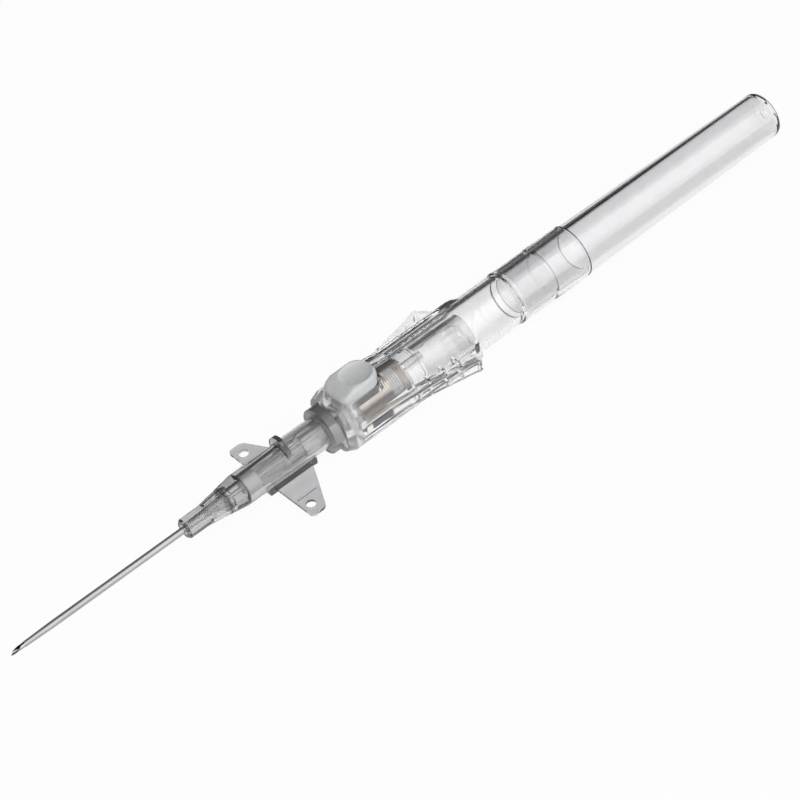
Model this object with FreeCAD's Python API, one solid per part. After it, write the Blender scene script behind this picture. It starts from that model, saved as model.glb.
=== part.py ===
import FreeCAD, Part
import math
import os

Vector = FreeCAD.Vector

# Push-button intravenous cannula with winged catheter hub, as taken from its tray, without the needle cover.
# Sizes are millimetres. Stations run along the needle's axis from the needle's point to the closed end.
# The row frame has +X along the axis towards the closed end, +Y across the wings and +Z towards the button.

# Needle
needle_radius = 0.38
needle_bore_radius = 0.25
needle_end_station = 79.0
bevel_angle = 20.0
side_grind_angle = 14.0
side_grind_turn = 38.0
notch_station = 8.2
notch_length = 1.1
notch_depth = 0.16

# Catheter tube and the metal wedge that holds it in the hub
running_gap = 0.02
catheter_wall = 0.15
catheter_tip_wall = 0.04
catheter_tip_station = 2.6
catheter_taper_length = 5.1
wedge_front_station = 36.8
wedge_length = 3.2
wedge_wall = 0.09
wedge_rise = 0.34

# Catheter hub
nose_front_station = 32.4
nose_radius = 1.67
nose_chamfer = 0.3
nose_end_station = 35.9
nose_mouth_radius = 0.80
nose_mouth_depth = 0.45
shoulder_station = 39.9
shoulder_radius = 2.16
shoulder_step = 0.06
body_front_station = 42.8
body_radius = 2.66
flange_front_station = 58.8
flange_thickness = 1.6
flange_radius = 3.85
flange_notch_radius = 3.15
flange_notch_start = -6.0
flange_notch_end = -38.0
luer_mouth_radius = 2.135
luer_taper_per_mm = 0.03
septum_front_station = 43.5
septum_thickness = 2.5
pocket_front_station = 36.9
pocket_length = 4.1
pocket_inner_radius = 1.22
pocket_wall = 0.42
pocket_rib_count = 4
pocket_rib_width = 0.42
tab_station = 51.1
tab_thickness = 0.75
tab_radius = 2.2
tab_rise = 2.05
rib_height = 0.18
rib_width = 0.3

# Wings, moulded with the hub
wing_top_level = -2.72
wing_thickness = 0.42
wing_tip_reach = 10.15
wing_tip_front_station = 48.25
wing_tip_rear_station = 50.9
wing_root_rear_station = 56.0
wing_waist_reach = 2.5
wing_waist_rear_station = 54.85
wing_corner_radius = 0.75
wing_hole_station = 49.7
wing_hole_reach = 8.0
wing_hole_radius = 0.80
wing_bead_reach = 6.1
wing_bead_width = 0.24
wing_bead_height = 0.16
keel_front_station = 46.9
keel_half_width = 2.0
keel_bottom_level = -3.45
keel_corner_radius = 0.5

# Septum and the actuator that opens it
slit_radius = 0.40
actuator_front_station = 46.35
actuator_cone_length = 4.2
actuator_tip_radius = 0.78
actuator_bore_radius = 0.55
actuator_ring_length = 3.4
actuator_wall = 0.38
actuator_wall_gap = 0.10
actuator_shoulder = 0.35
actuator_slot_width = 0.8
actuator_slot_length = 2.2

# Grip housing
luer_fit_gap = 0.04
spigot_front_station = 54.6
spigot_bore_radius = 0.95
hub_seat_gap = 0.3
face_half_width = 4.1
nose_half_width = 4.6
nose_rise_length = 1.3
nose_corner_radius = 2.5
saddle_top_level = 4.5
neck_top_level = 4.1
neck_half_width = 4.45
neck_station = 73.5
cheek_end_station = 90.4
barrel_radius = 4.47
collar_radius = 4.56
chamber_radius = 3.40
bulkhead_station = 63.85
bulkhead_thickness = 0.75
passage_radius = 1.66
passage_front_station = 61.6
collar_front_station = 96.0
socket_front_station = 96.9
collar_rear_station = 109.9
socket_radius = 4.0
flare_root_station = 66.0
flare_root_reach = 4.35
flare_mid_station = 76.5
flare_mid_reach = 6.0
flare_end_station = 84.4
flare_end_reach = 7.75
flare_thickness = 0.8
flare_half_height = 1.45
flare_web_thickness = 0.8
flare_end_plate = 0.8
flare_rib_thickness = 0.45
flare_rib_pitch = 2.6
flare_rib_count = 6
flare_first_rib_station = 68.2

# Rear tube, plugged into the housing's collar
overall_length = 151.6
tube_front_radius = 4.37
tube_rear_radius = 3.88
tube_end_wall = 1.0
tube_end_round = 1.25
tube_end_chords = 2
tube_bore_radius = 3.3
spigot_gap = 0.02
weld_bead_station = 102.15
weld_bead_length = 1.2
weld_bead_groove = 0.16
gate_radius = 0.9
gate_depth = 0.25

# Push button with its latch plate
button_front_station = 62.25
button_length = 7.7
button_half_width = 2.85
button_top_level = 6.15
button_front_drop = 1.1
button_cap_depth = 1.2
button_skirt_depth = 2.05
button_skirt_wall = 0.5
button_travel = 1.15
button_corner_radius = 1.3
button_rim_chamfer = 0.35
button_side_gap = 0.12
dish_station = 66.95
dish_radius = 2.65
dish_depth = 0.65
latch_station = 62.7
latch_thickness = 0.8
latch_half_width = 2.5
latch_bottom_level = -2.35
latch_slot_gap = 0.12
well_floor_gap = 0.15

# Needle hub, carried by the spring when the button lets go
head_station = 61.85
head_radius = 1.50
neck_radius = 0.95
latch_gap = 0.05
hub_core_station = 65.3
hub_core_radius = 1.85
hub_flange_station = 74.5
hub_flange_length = 2.3
hub_flange_radius = 2.95
chamber_body_radius = 2.70
chamber_wall = 0.5
chamber_floor_station = 77.6
hub_rear_station = 87.0
hub_fin_count = 4
hub_fin_width = 0.45
hub_fin_cut_length = 3.4
plug_length = 1.6

# Spring, shown compressed
spring_radius = 2.90
wire_radius = 0.18
spring_turns = 22
spring_chords = 8
spring_end_gap = 0.10


def turned(points):
    """Solid of revolution about the X axis from (station, radius) points of a closed outline."""
    corners = [Vector(x, 0, r) for x, r in points]
    outline = Part.makePolygon(corners + [corners[0]])
    return Part.Face(outline).revolve(Vector(0, 0, 0), Vector(1, 0, 0), 360)


def box_between(x_low, x_high, y_low, y_high, z_low, z_high):
    size = (x_high - x_low, y_high - y_low, z_high - z_low)
    return Part.makeBox(size[0], size[1], size[2], Vector(x_low, y_low, z_low))


def rod(start, end, radius, y=0.0, z=0.0):
    """Round rod along X from one station to another."""
    return Part.makeCylinder(radius, end - start, Vector(start, y, z), Vector(1, 0, 0))


def rounded_section(station, half_width, top, bottom, corner):
    """Closed wire of a rounded rectangle in the YZ plane."""
    inner_y = half_width - corner
    upper_z = top - corner
    lower_z = bottom + corner
    diagonal = corner * math.sqrt(0.5)
    edges = []
    corners = ((inner_y, upper_z, 1, 1), (-inner_y, upper_z, -1, 1), (-inner_y, lower_z, -1, -1), (inner_y, lower_z, 1, -1))
    ends = []
    for cy, cz, sy, sz in corners:
        side = Vector(station, cy + sy * corner, cz)
        crown = Vector(station, cy, cz + sz * corner)
        middle = Vector(station, cy + sy * diagonal, cz + sz * diagonal)
        first, last = (side, crown) if sy * sz > 0 else (crown, side)
        ends.append((first, middle, last))
    for number, (first, middle, last) in enumerate(ends):
        following = ends[(number + 1) % 4][0]
        edges.append(Part.Arc(first, middle, last).toShape())
        edges.append(Part.LineSegment(last, following).toShape())
    return Part.Wire(edges)


def turned_about_axis(shape, angle):
    copy = shape.copy()
    copy.rotate(Vector(0, 0, 0), Vector(1, 0, 0), angle)
    return copy


def mirrored_across(shape):
    """The shape's twin on the other side of the XZ plane."""
    return shape.mirror(Vector(0, 0, 0), Vector(0, 1, 0))


def plate_from(points, bottom, thickness):
    """Flat plate with a straight-edged outline of (station, y) points."""
    corners = [Vector(x, y, bottom) for x, y in points]
    return Part.Face(Part.makePolygon(corners + [corners[0]])).extrude(Vector(0, 0, thickness))


# Radii that follow from the needle outwards
catheter_bore_radius = needle_radius + running_gap
catheter_radius = catheter_bore_radius + catheter_wall
wedge_front_radius = catheter_bore_radius + wedge_wall
wedge_rear_radius = wedge_front_radius + wedge_rise
wedge_end = wedge_front_station + wedge_length
swell_start = wedge_front_station - wedge_wall * wedge_length / wedge_rise
swell_end_radius = wedge_rear_radius + catheter_wall
flange_rear_station = flange_front_station + flange_thickness


def luer_radius(station):
    """Radius of the hub's tapered socket at a station."""
    return luer_mouth_radius - luer_taper_per_mm * (flange_rear_station - station)


# Introducer needle: a drawn steel tube with a three-facet point, bevel up, and a flash notch
def make_introducer_needle():
    tube = turned([
        (0, needle_bore_radius), (needle_end_station, needle_bore_radius),
        (needle_end_station, needle_radius), (0, needle_radius)])
    bevel_length = 2 * needle_radius / math.tan(math.radians(bevel_angle))
    cutter_size = 3 * bevel_length
    point_slope = Part.makeBox(cutter_size, cutter_size, cutter_size, Vector(-cutter_size / 2, -cutter_size / 2, 0))
    point_slope.rotate(Vector(0, 0, 0), Vector(0, 1, 0), -bevel_angle)
    point_slope.translate(Vector(0, 0, -needle_radius))
    tube = tube.cut(point_slope)
    for side in (1, -1):
        facet = Part.makeBox(cutter_size, cutter_size, cutter_size, Vector(-cutter_size / 2, -cutter_size / 2, 0))
        facet.rotate(Vector(0, 0, 0), Vector(0, 1, 0), -bevel_angle - side_grind_angle)
        facet.translate(Vector(0, 0, -needle_radius))
        facet.rotate(Vector(0, 0, 0), Vector(1, 0, 0), side * side_grind_turn)
        tube = tube.cut(facet)
    notch = box_between(
        notch_station, notch_station + notch_length, -needle_radius, needle_radius,
        needle_radius - notch_depth, 2 * needle_radius)
    return tube.cut(notch)


# Catheter tube: extruded, with a drawn-down tip, and swelled over the wedge
def make_catheter_tube():
    taper_end = catheter_tip_station + catheter_taper_length
    return turned([
        (catheter_tip_station, catheter_bore_radius),
        (catheter_tip_station, catheter_bore_radius + catheter_tip_wall),
        (taper_end, catheter_radius), (swell_start, catheter_radius),
        (wedge_end, swell_end_radius), (wedge_end, wedge_rear_radius),
        (swell_start, catheter_bore_radius)])


# Catheter wedge: a spun metal funnel that swells the catheter's end into the hub's seat
def make_catheter_wedge():
    return turned([
        (wedge_front_station, catheter_bore_radius), (wedge_front_station, wedge_front_radius),
        (wedge_end, wedge_rear_radius), (wedge_end, wedge_rear_radius - wedge_wall)])


# Wing outline on one side, with its suture hole, score bead and rounded tips
def make_wing():
    outline = [
        (wing_tip_front_station, 0.0), (wing_tip_front_station, wing_tip_reach),
        (wing_tip_rear_station, wing_tip_reach), (wing_waist_rear_station, wing_waist_reach),
        (wing_root_rear_station, wing_waist_reach - 1.6), (wing_root_rear_station, 0.0)]
    bottom = wing_top_level - wing_thickness
    plate = plate_from(outline, bottom, wing_thickness)
    tip_edges = [
        edge for edge in plate.Edges
        if edge.BoundBox.ZLength > 0.9 * wing_thickness and abs(edge.BoundBox.YMax - wing_tip_reach) < 0.01]
    plate = plate.makeFillet(wing_corner_radius, tip_edges)
    hole = Part.makeCylinder(
        wing_hole_radius, 3 * wing_thickness, Vector(wing_hole_station, wing_hole_reach, bottom - wing_thickness))
    bead_inset = 0.45
    reach_share = (wing_bead_reach - wing_waist_reach) / (wing_tip_reach - wing_waist_reach)
    rear_edge = wing_waist_rear_station + reach_share * (wing_tip_rear_station - wing_waist_rear_station)
    bead = box_between(
        wing_tip_front_station + bead_inset, rear_edge - bead_inset,
        wing_bead_reach - wing_bead_width / 2, wing_bead_reach + wing_bead_width / 2,
        wing_top_level - wing_bead_height, wing_top_level + wing_bead_height)
    return plate.cut(hole).fuse(bead)


# Catheter hub: nose, body, lugged luer flange, push-off tab, keel and wings in one moulding
def make_catheter_hub():
    shell = turned([
        (nose_front_station, 0), (nose_front_station, nose_radius - nose_chamfer),
        (nose_front_station + nose_chamfer, nose_radius), (nose_end_station, nose_radius),
        (shoulder_station, shoulder_radius), (shoulder_station, shoulder_radius + shoulder_step),
        (body_front_station, body_radius), (flange_front_station, body_radius),
        (flange_front_station, flange_radius), (flange_rear_station, flange_radius), (flange_rear_station, 0)])
    for side in (1, -1):
        shell = shell.cut(make_flange_notch(side))
    tab = rod(tab_station, tab_station + tab_thickness, tab_radius, z=tab_rise)
    keel = box_between(
        keel_front_station, wing_root_rear_station, -keel_half_width, keel_half_width,
        keel_bottom_level, wing_top_level + body_radius / 2)
    keel_edges = [edge for edge in keel.Edges if edge.BoundBox.ZMax < keel_bottom_level + 0.01]
    keel = keel.makeFillet(keel_corner_radius, keel_edges)
    hub = shell.fuse([tab, keel, make_wing(), mirrored_across(make_wing())])
    for side in (1, -1):
        hub = hub.fuse(make_hub_rib(side))
    hub = hub.cut([make_hub_bore(), make_nose_pocket()])
    return hub.removeSplitter()


# Side notch between the flange's top and its lower lug
def make_flange_notch(side):
    ring = turned([
        (flange_front_station - 0.5, flange_notch_radius), (flange_rear_station + 0.5, flange_notch_radius),
        (flange_rear_station + 0.5, 2 * flange_radius), (flange_front_station - 0.5, 2 * flange_radius)])
    reach = 3 * flange_radius
    first = math.radians(flange_notch_start)
    last = math.radians(flange_notch_end)
    wedge_points = [
        Vector(flange_front_station - 1, 0, 0),
        Vector(flange_front_station - 1, reach * math.cos(first), reach * math.sin(first)),
        Vector(flange_front_station - 1, reach * math.cos(last), reach * math.sin(last))]
    sector = Part.Face(Part.makePolygon(wedge_points + [wedge_points[0]]))
    sector = sector.extrude(Vector(flange_thickness + 2, 0, 0))
    notch = ring.common(sector)
    return notch if side > 0 else mirrored_across(notch)


# Raised rail along the hub's upper side, from the push-off tab to the flange
def make_hub_rib(side):
    start = tab_station + tab_thickness
    rail = box_between(
        start, flange_front_station, -rib_width / 2, rib_width / 2, body_radius - rib_width, body_radius + rib_height)
    return turned_about_axis(rail, side * 32.0)


# Everything hollow inside the hub: catheter seat, septum seat and luer socket
def make_hub_bore():
    seat = luer_radius(septum_front_station + septum_thickness)
    beyond = flange_rear_station + 1
    return turned([
        (nose_front_station - 1, 0), (nose_front_station - 1, nose_mouth_radius),
        (nose_front_station, nose_mouth_radius), (nose_front_station + nose_mouth_depth, catheter_radius),
        (swell_start, catheter_radius), (wedge_end, swell_end_radius), (septum_front_station, swell_end_radius),
        (septum_front_station, seat), (septum_front_station + septum_thickness, seat),
        (beyond, luer_radius(beyond)), (beyond, 0)])


# Annular core-out round the wedge, crossed by ribs
def make_nose_pocket():
    share = (pocket_front_station - nose_end_station) / (shoulder_station - nose_end_station)
    front_outer = nose_radius + share * (shoulder_radius - nose_radius) - pocket_wall
    rear_outer = shoulder_radius - pocket_wall
    rear = pocket_front_station + pocket_length
    ring = turned([
        (pocket_front_station, pocket_inner_radius), (pocket_front_station, front_outer),
        (shoulder_station, rear_outer), (rear, rear_outer), (rear, pocket_inner_radius)])
    for number in range(pocket_rib_count):
        rib = box_between(
            pocket_front_station - 1, rear + 1, -pocket_rib_width / 2, pocket_rib_width / 2,
            0, shoulder_radius)
        ring = ring.cut(turned_about_axis(rib, 45 + number * 360 / pocket_rib_count))
    return ring


# Blood-control septum: an elastomer disc, slit for the needle
def make_blood_control_septum():
    seat = luer_radius(septum_front_station + septum_thickness)
    rear = septum_front_station + septum_thickness
    return turned([
        (septum_front_station, slit_radius), (septum_front_station, seat), (rear, seat), (rear, slit_radius)])


# Septum actuator: a hollow cone that a luer connector pushes through the septum
def make_septum_actuator():
    cone_end = actuator_front_station + actuator_cone_length
    ring_end = cone_end + actuator_ring_length
    ring_radius = luer_radius(cone_end - 2.4) - actuator_wall_gap
    base_end = cone_end + actuator_wall
    body = turned([
        (actuator_front_station, actuator_bore_radius), (actuator_front_station, actuator_tip_radius),
        (cone_end, ring_radius - actuator_shoulder), (cone_end, ring_radius), (ring_end, ring_radius),
        (ring_end, ring_radius - actuator_wall), (base_end, ring_radius - actuator_wall),
        (base_end, actuator_bore_radius)])
    slot = box_between(
        ring_end - actuator_slot_length, ring_end + 1, -2 * ring_radius, 2 * ring_radius,
        -actuator_slot_width / 2, actuator_slot_width / 2)
    return body.cut([slot, turned_about_axis(slot, 90)])


nose_face_station = flange_rear_station + hub_seat_gap
saddle_rear_station = button_front_station + button_length + button_side_gap
bulkhead_rear_station = bulkhead_station + bulkhead_thickness
button_underside = button_top_level - button_cap_depth
button_skirt_level = button_top_level - button_skirt_depth
button_hollow_station = latch_station + latch_thickness
button_hollow_half_width = button_half_width - button_skirt_wall
well_floor = button_underside - button_travel - well_floor_gap
skirt_channel_floor = button_skirt_level - button_travel - well_floor_gap


def rear_edge_station(reach):
    """Station where the cheek's slanted rear edge lies, at a reach from the XZ plane."""
    return cheek_end_station - (cheek_end_station - flare_end_station) * reach / flare_end_reach


# Finger flare on one side: a bowed blade on a thin web, with ladder ribs and a slanted end plate
def make_flare():
    root = Vector(flare_root_station, flare_root_reach, 0)
    middle = Vector(flare_mid_station, flare_mid_reach, 0)
    tip = Vector(flare_end_station, flare_end_reach, 0)
    shift = Vector(0, -flare_thickness, 0)
    outer = Part.Arc(root, middle, tip).toShape()
    inner = Part.Arc(root + shift, middle + shift, tip + shift).toShape()
    start = Part.LineSegment(root, root + shift).toShape()
    end = Part.LineSegment(tip, tip + shift).toShape()
    blade = Part.Face(Part.Wire([outer, end, inner, start])).extrude(Vector(0, 0, 2 * flare_half_height))
    blade.translate(Vector(0, 0, -flare_half_height))
    base_root = Vector(flare_root_station, chamber_radius, 0)
    base_tip = Vector(rear_edge_station(chamber_radius), chamber_radius, 0)
    web_edges = [
        outer, Part.LineSegment(tip, base_tip).toShape(), Part.LineSegment(base_tip, base_root).toShape(),
        Part.LineSegment(base_root, root).toShape()]
    outline = Part.Face(Part.Wire(web_edges))
    web = outline.extrude(Vector(0, 0, flare_web_thickness))
    web.translate(Vector(0, 0, -flare_web_thickness / 2))
    envelope = outline.extrude(Vector(0, 0, 2 * flare_half_height))
    envelope.translate(Vector(0, 0, -flare_half_height))
    cross_ribs = []
    for number in range(flare_rib_count):
        station = flare_first_rib_station + number * flare_rib_pitch
        rib = box_between(
            station, station + flare_rib_thickness, 0, 2 * flare_end_reach, -flare_half_height, flare_half_height)
        cross_ribs.append(rib.common(envelope))
    plate_points = [
        (tip.x, tip.y), (base_tip.x, base_tip.y), (base_tip.x - flare_end_plate, base_tip.y),
        (tip.x - flare_end_plate, tip.y)]
    plate = plate_from(plate_points, -flare_half_height, 2 * flare_half_height).common(envelope)
    return blade.fuse([web, plate] + cross_ribs)


# Grip housing: luer spigot, button saddle, spring chamber, finger flares and collar in one clear moulding
def make_grip_housing():
    face = rounded_section(nose_face_station, face_half_width, face_half_width, -face_half_width, nose_corner_radius)
    full_station = nose_face_station + nose_rise_length
    full = rounded_section(full_station, nose_half_width, saddle_top_level, -nose_half_width, nose_corner_radius)
    saddle = rounded_section(
        saddle_rear_station, nose_half_width, saddle_top_level, -nose_half_width, nose_corner_radius)
    neck = rounded_section(neck_station, neck_half_width, neck_top_level, -nose_half_width, nose_corner_radius)
    cheeks = Part.Face(neck).extrude(Vector(cheek_end_station - neck_station, 0, 0))
    for side in (1, -1):
        slant = plate_from(
            [(cheek_end_station, 0), (cheek_end_station + 1, 0), (cheek_end_station + 1, side * flare_end_reach),
             (flare_end_station, side * flare_end_reach)], -2 * nose_half_width, 4 * nose_half_width)
        cheeks = cheeks.cut(slant)
    outer = Part.makeLoft([face, full], True, True)
    outer = outer.fuse(Part.Face(full).extrude(Vector(saddle_rear_station - full_station, 0, 0)))
    outer = outer.fuse([Part.makeLoft([saddle, neck], True, True), cheeks])
    barrel = turned([
        (neck_station, 0), (neck_station, barrel_radius), (collar_front_station, barrel_radius),
        (collar_front_station + 0.5, collar_radius), (collar_rear_station, collar_radius),
        (collar_rear_station, 0)])
    spigot = turned([
        (spigot_front_station, 0), (spigot_front_station, luer_radius(spigot_front_station) - luer_fit_gap - 0.15),
        (spigot_front_station + 0.4, luer_radius(spigot_front_station + 0.4) - luer_fit_gap),
        (flange_rear_station, luer_radius(flange_rear_station) - luer_fit_gap),
        (nose_face_station + 0.2, luer_radius(flange_rear_station) - luer_fit_gap), (nose_face_station + 0.2, 0)])
    solid = outer.fuse([barrel, spigot, make_flare(), mirrored_across(make_flare())])
    hollow = turned([
        (spigot_front_station - 1, 0), (spigot_front_station - 1, spigot_bore_radius),
        (passage_front_station, spigot_bore_radius), (passage_front_station, passage_radius),
        (bulkhead_rear_station, passage_radius), (bulkhead_rear_station, chamber_radius),
        (socket_front_station, chamber_radius), (socket_front_station, socket_radius),
        (collar_rear_station + 1, socket_radius), (collar_rear_station + 1, 0)])
    return solid.cut([hollow, make_button_well()]).removeSplitter()


# Opening in the saddle for the button's cap: deeper round its skirts, over the chamber's roof less so, with a slot
# in front for its latch plate
def make_button_well():
    cap_half_width = button_half_width + button_side_gap
    cap_well = box_between(
        button_front_station - button_side_gap, saddle_rear_station, -cap_half_width, cap_half_width,
        skirt_channel_floor, 2 * button_top_level)
    cap_edges = [
        edge for edge in cap_well.Edges
        if edge.BoundBox.ZLength > 1 and edge.BoundBox.XLength < 0.001 and edge.BoundBox.YLength < 0.001]
    cap_well = cap_well.makeFillet(button_corner_radius + button_side_gap, cap_edges)
    roof_half_width = button_hollow_half_width - button_side_gap
    chamber_roof = box_between(
        button_hollow_station + button_side_gap, saddle_rear_station + 1, -roof_half_width, roof_half_width,
        0, well_floor)
    cap_well = cap_well.cut(chamber_roof)
    plate_slot = box_between(
        latch_station - button_side_gap, bulkhead_station, -latch_half_width - button_side_gap,
        latch_half_width + button_side_gap, latch_bottom_level - button_travel - well_floor_gap, button_top_level)
    return cap_well.fuse(plate_slot)


# Push button: dished cap that slopes at the front, hollow between its skirts, and a latch plate with a keyhole
def make_push_button():
    rear = button_front_station + button_length
    side_profile = [
        Vector(button_front_station, -button_half_width, button_skirt_level),
        Vector(button_front_station, -button_half_width, button_top_level - button_front_drop),
        Vector(dish_station - dish_radius, -button_half_width, button_top_level),
        Vector(rear, -button_half_width, button_top_level),
        Vector(rear, -button_half_width, button_skirt_level)]
    cap = Part.Face(Part.makePolygon(side_profile + [side_profile[0]]))
    cap = cap.extrude(Vector(0, 2 * button_half_width, 0))
    upright = [
        edge for edge in cap.Edges
        if edge.BoundBox.ZLength > 0.1 and edge.BoundBox.XLength < 0.001 and edge.BoundBox.YLength < 0.001]
    cap = cap.makeFillet(button_corner_radius, upright)
    sphere_radius = (dish_radius ** 2 + dish_depth ** 2) / (2 * dish_depth)
    bowl = Part.makeSphere(sphere_radius, Vector(dish_station, 0, button_top_level + sphere_radius - dish_depth))
    rim = [
        edge for edge in cap.Edges
        if edge.BoundBox.ZMin > button_top_level - 0.01 and edge.BoundBox.XMax > dish_station]
    cap = cap.makeChamfer(button_rim_chamfer, rim)
    hollow = box_between(
        button_hollow_station, rear + 1, -button_hollow_half_width, button_hollow_half_width, 0, button_underside)
    cap = cap.cut([bowl, hollow])
    plate = box_between(
        latch_station, latch_station + latch_thickness, -latch_half_width, latch_half_width,
        latch_bottom_level, button_underside + 0.2)
    hole_radius = head_radius + latch_slot_gap
    slot_radius = neck_radius + latch_slot_gap
    keyhole = rod(latch_station - 1, latch_station + latch_thickness + 1, hole_radius, z=button_travel)
    slot = rod(latch_station - 1, latch_station + latch_thickness + 1, slot_radius)
    lower = [edge for edge in plate.Edges if edge.BoundBox.ZMax < latch_bottom_level + 0.01]
    lower = [edge for edge in lower if edge.BoundBox.YLength < 0.01]
    plate = plate.makeFillet(latch_half_width * 0.6, lower)
    return cap.fuse(plate).cut([keyhole, slot]).removeSplitter()


# Needle hub: latch head and neck, core inside the spring, flange, and a ribbed flash chamber
def make_needle_hub():
    neck_start = latch_station - latch_gap
    flange_end = hub_flange_station + hub_flange_length
    body = turned([
        (head_station, needle_radius), (head_station, head_radius * 0.7), (head_station + 0.25, head_radius),
        (neck_start, head_radius), (neck_start, neck_radius),
        (hub_core_station, neck_radius), (hub_core_station, hub_core_radius),
        (hub_flange_station, hub_core_radius), (hub_flange_station, hub_flange_radius),
        (flange_end, hub_flange_radius), (flange_end, chamber_body_radius),
        (hub_rear_station, chamber_body_radius), (hub_rear_station, chamber_body_radius - chamber_wall),
        (chamber_floor_station, chamber_body_radius - chamber_wall), (chamber_floor_station, needle_radius)])
    for number in range(hub_fin_count):
        window = box_between(
            hub_rear_station - plug_length - hub_fin_cut_length, hub_rear_station - plug_length - 0.4,
            -hub_fin_width, hub_fin_width, chamber_body_radius - chamber_wall / 2, 2 * chamber_body_radius)
        body = body.cut(turned_about_axis(window, 45 + number * 360 / hub_fin_count))
    return body


# Vent plug: porous disc that closes the flash chamber
def make_vent_plug():
    return rod(hub_rear_station - plug_length, hub_rear_station, chamber_body_radius - chamber_wall)


# Retraction spring: coiled steel wire, compressed between bulkhead and hub flange, in short chords of four-sided wire
def make_retraction_spring():
    start = bulkhead_rear_station + spring_end_gap + wire_radius
    end = hub_flange_station - spring_end_gap - wire_radius
    middle_radius = spring_radius - wire_radius
    chord_count = spring_turns * spring_chords
    sections = []
    for number in range(chord_count + 1):
        turn = 2 * math.pi * number / spring_chords
        station = start + (end - start) * number / chord_count
        corners = []
        for across, along in ((1, 0), (0, 1), (-1, 0), (0, -1)):
            radius = middle_radius + across * wire_radius
            corners.append(Vector(station + along * wire_radius, radius * math.cos(turn), radius * math.sin(turn)))
        sections.append(Part.makePolygon(corners + [corners[0]]))
    return Part.makeLoft(sections, True, True)


# Rear tube: closed round end, drafted wall, and a front spigot glued into the collar
def make_rear_tube():
    spigot_radius = socket_radius - spigot_gap
    front = socket_front_station + spigot_gap
    inner_end = overall_length - tube_end_wall
    bead_end = weld_bead_station + weld_bead_length
    rounded_end = []
    for number in range(tube_end_chords + 1):
        angle = math.radians(90 * number / tube_end_chords)
        rounded_end.append((
            overall_length - tube_end_round * (1 - math.sin(angle)),
            tube_rear_radius - tube_end_round * (1 - math.cos(angle))))
    gate_floor = overall_length - gate_depth
    return turned([
        (front, tube_bore_radius), (front, spigot_radius),
        (weld_bead_station, spigot_radius), (weld_bead_station, spigot_radius - weld_bead_groove),
        (bead_end, spigot_radius - weld_bead_groove), (bead_end, spigot_radius),
        (collar_rear_station, spigot_radius), (collar_rear_station, tube_front_radius)]
        + rounded_end
        + [(overall_length, gate_radius), (gate_floor, gate_radius), (gate_floor, 0),
           (inner_end, 0), (inner_end, tube_bore_radius)])


makers = {
    "introducer_needle": make_introducer_needle,
    "catheter_tube": make_catheter_tube,
    "catheter_wedge": make_catheter_wedge,
    "catheter_hub": make_catheter_hub,
    "blood_control_septum": make_blood_control_septum,
    "septum_actuator": make_septum_actuator,
    "grip_housing": make_grip_housing,
    "rear_tube": make_rear_tube,
    "push_button": make_push_button,
    "needle_hub": make_needle_hub,
    "vent_plug": make_vent_plug,
    "retraction_spring": make_retraction_spring,
}

shapes = {name: make() for name, make in makers.items()}

# The origin is under the middle of the part's length, on the surface that the grip's flat underside rests on
needle_point = shapes["introducer_needle"].BoundBox.XMin
to_row_frame = Vector(-(needle_point + overall_length) / 2, 0, nose_half_width)

print("shift to row frame", round(to_row_frame.x, 4), round(to_row_frame.z, 4))
os.makedirs("parts", exist_ok=True)
for name, shape in shapes.items():
    shape.translate(to_row_frame)
    box = shape.BoundBox
    print(name, "solids", len(shape.Solids), "valid", shape.isValid(), "volume", round(shape.Volume, 3),
          "x", round(box.XMin, 2), round(box.XMax, 2), "y", round(box.YMin, 2), round(box.YMax, 2),
          "z", round(box.ZMin, 2), round(box.ZMax, 2))
    shape.exportStep("parts/" + name + ".step")
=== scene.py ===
import math

import bpy
from mathutils import Matrix, Vector


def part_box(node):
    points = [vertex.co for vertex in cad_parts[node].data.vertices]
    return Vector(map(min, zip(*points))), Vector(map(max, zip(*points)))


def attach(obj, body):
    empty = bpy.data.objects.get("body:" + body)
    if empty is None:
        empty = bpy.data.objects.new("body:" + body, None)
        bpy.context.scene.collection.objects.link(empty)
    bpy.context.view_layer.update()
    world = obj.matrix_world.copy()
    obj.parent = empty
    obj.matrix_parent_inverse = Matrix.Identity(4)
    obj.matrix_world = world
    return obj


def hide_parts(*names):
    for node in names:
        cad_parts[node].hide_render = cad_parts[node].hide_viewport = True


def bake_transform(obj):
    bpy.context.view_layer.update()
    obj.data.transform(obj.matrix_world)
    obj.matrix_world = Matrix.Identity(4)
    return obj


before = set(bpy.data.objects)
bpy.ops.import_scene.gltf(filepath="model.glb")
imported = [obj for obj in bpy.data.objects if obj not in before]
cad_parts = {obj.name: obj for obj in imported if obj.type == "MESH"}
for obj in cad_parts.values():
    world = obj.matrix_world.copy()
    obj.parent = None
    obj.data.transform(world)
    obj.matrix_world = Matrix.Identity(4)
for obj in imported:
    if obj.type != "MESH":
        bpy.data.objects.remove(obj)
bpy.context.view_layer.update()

# Studio: a long lens looks down at about 43 degrees on the part, which lies on a pale floor. All round it is
# white, as in a light tent, apart from a dark flag behind the far side, which draws the clear walls' edges.
camera_place = Vector((-0.239776, -0.383785, 0.426221))
camera_right = Vector((0.749379, -0.642348, -0.160685))
camera_up = Vector((0.540356, 0.453015, 0.709079))
camera_lens = 184.945
camera_sensor = 36
camera_near = 0.05
camera_far = 20
plain_white = (1, 1, 1, 1)
flag_direction = Vector((-0.10, 0.80, 0.60)).normalized()
flag_edge = 0.54
flag_core = 0.68
flag_colour = (0.012, 0.013, 0.018)
flag_rim_colour = (0.22, 0.25, 0.32, 1)
tent_ambient = 0.44
floor_size = 4.0
floor_gap = 0.00002
floor_colour = (0.93, 0.93, 0.93, 1)
floor_glow = 0.95
floor_far_white = 0.016
floor_far_dark = 0.036
floor_far_level = 0.04
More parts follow.
